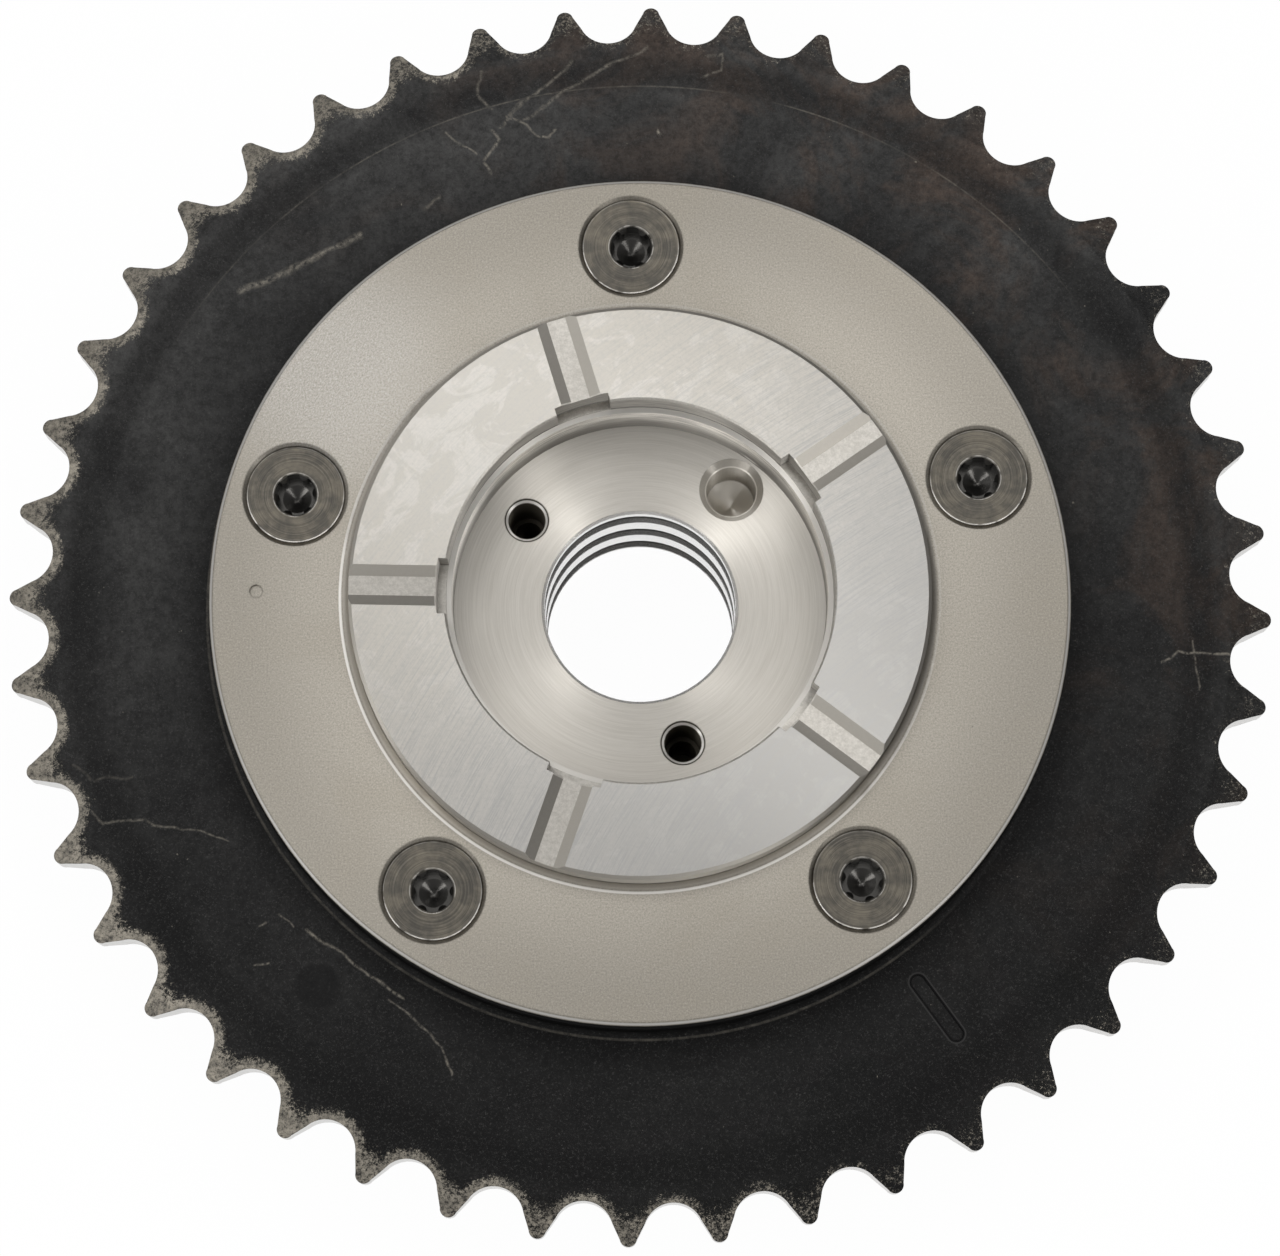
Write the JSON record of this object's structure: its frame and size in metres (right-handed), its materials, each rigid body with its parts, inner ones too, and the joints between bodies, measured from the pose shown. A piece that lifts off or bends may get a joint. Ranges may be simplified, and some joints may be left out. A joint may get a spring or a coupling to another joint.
{
  "type": "cam phaser",
  "caption": "Vane-type variable valve timing cam phaser: black roller-chain sprocket housing, bright cover plate, and a rotor with radial oil grooves that turns inside it",
  "frame": {"origin": "on the axis of rotation, in the outer face of the front cover, on which the part lies", "axes": "+Z along the axis of rotation towards the camshaft; +X and +Y square to it"},
  "size_m": [0.136, 0.136, 0.0283],
  "materials": {
    "black_sinter": "black oxide, scuffed",
    "plate_steel": "fine blasted satin",
    "cover_steel": "turned",
    "rotor_steel": "ground and turned",
    "screw_steel": "phosphated",
    "hard_steel": "ground",
    "spring_steel": "drawn",
    "seal_strip": "moulded"
  },
  "bodies": {
    "housing": {"sprocket_housing": "black_sinter", "rear_plate": "plate_steel", "front_cover": "cover_steel", "cover_screws": "screw_steel", "lock_seat": "hard_steel", "lobe_seal_1": "seal_strip", "lobe_seal_2": "seal_strip", "lobe_seal_3": "seal_strip", "lobe_seal_4": "seal_strip", "lobe_seal_5": "seal_strip", "lobe_spring_1": "spring_steel", "lobe_spring_2": "spring_steel", "lobe_spring_3": "spring_steel", "lobe_spring_4": "spring_steel", "lobe_spring_5": "spring_steel"},
    "rotor": {"rotor": "rotor_steel", "lock_spring": "spring_steel", "vane_seal_1": "seal_strip", "vane_seal_2": "seal_strip", "vane_seal_3": "seal_strip", "vane_seal_4": "seal_strip", "vane_seal_5": "seal_strip", "vane_spring_1": "spring_steel", "vane_spring_2": "spring_steel", "vane_spring_3": "spring_steel", "vane_spring_4": "spring_steel", "vane_spring_5": "spring_steel"},
    "lock_pin": {"lock_pin": "hard_steel"}
  },
  "joints": [
    {"name": "rotor_turn", "type": "hinge", "parent": "housing", "child": "rotor", "pos_m": [0, 0, 0.0132], "axis": [0, 0, 1], "range_deg": [0, 23.8]},
    {"name": "lock_pin_slide", "type": "slide", "parent": "rotor", "child": "lock_pin", "axis": [0, 0, 1], "range_m": [0, 0.003], "stiffness_N_per_m": 1500, "springref_m": -0.004, "deforming": ["lock_spring"]}
  ]
}
